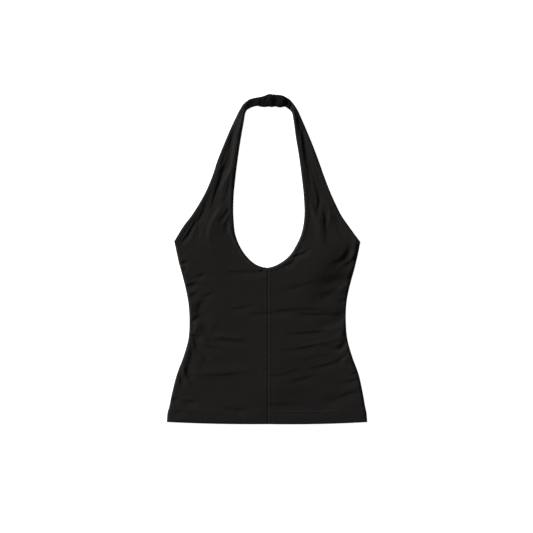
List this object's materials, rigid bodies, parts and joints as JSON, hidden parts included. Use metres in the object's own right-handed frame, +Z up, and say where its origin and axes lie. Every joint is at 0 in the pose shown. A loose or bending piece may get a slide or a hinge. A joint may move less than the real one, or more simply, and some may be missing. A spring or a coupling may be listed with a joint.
{
  "type": "halter neck top",
  "caption": "Black jersey halter neck top laid flat, fitted at the waist, with a deep U neckline, centre front seam and gathered elastic neck band.",
  "frame": {"origin": "middle of the box that the laid garment fills, on the surface that it lies on", "axes": "+Y from the hem towards the neck band, +Z up from the surface to the front of the garment, +X to the right as seen from above"},
  "size_m": [0.4012, 0.6603, 0.0076],
  "materials": {
    "jersey": "matt cotton jersey, soft sheen at grazing angles",
    "jersey_back": "matt cotton jersey",
    "gathered_band": "matt cotton jersey gathered over elastic",
    "binding": "matt cotton jersey, doubled and topstitched"
  },
  "bodies": {
    "root": {"front_left": "jersey", "front_right": "jersey", "back": "jersey_back", "neck_band": "gathered_band", "armhole_binding_left": "binding", "armhole_binding_right": "binding", "neckline_binding_left": "binding", "neckline_binding_right": "binding"}
  },
  "joints": []
}
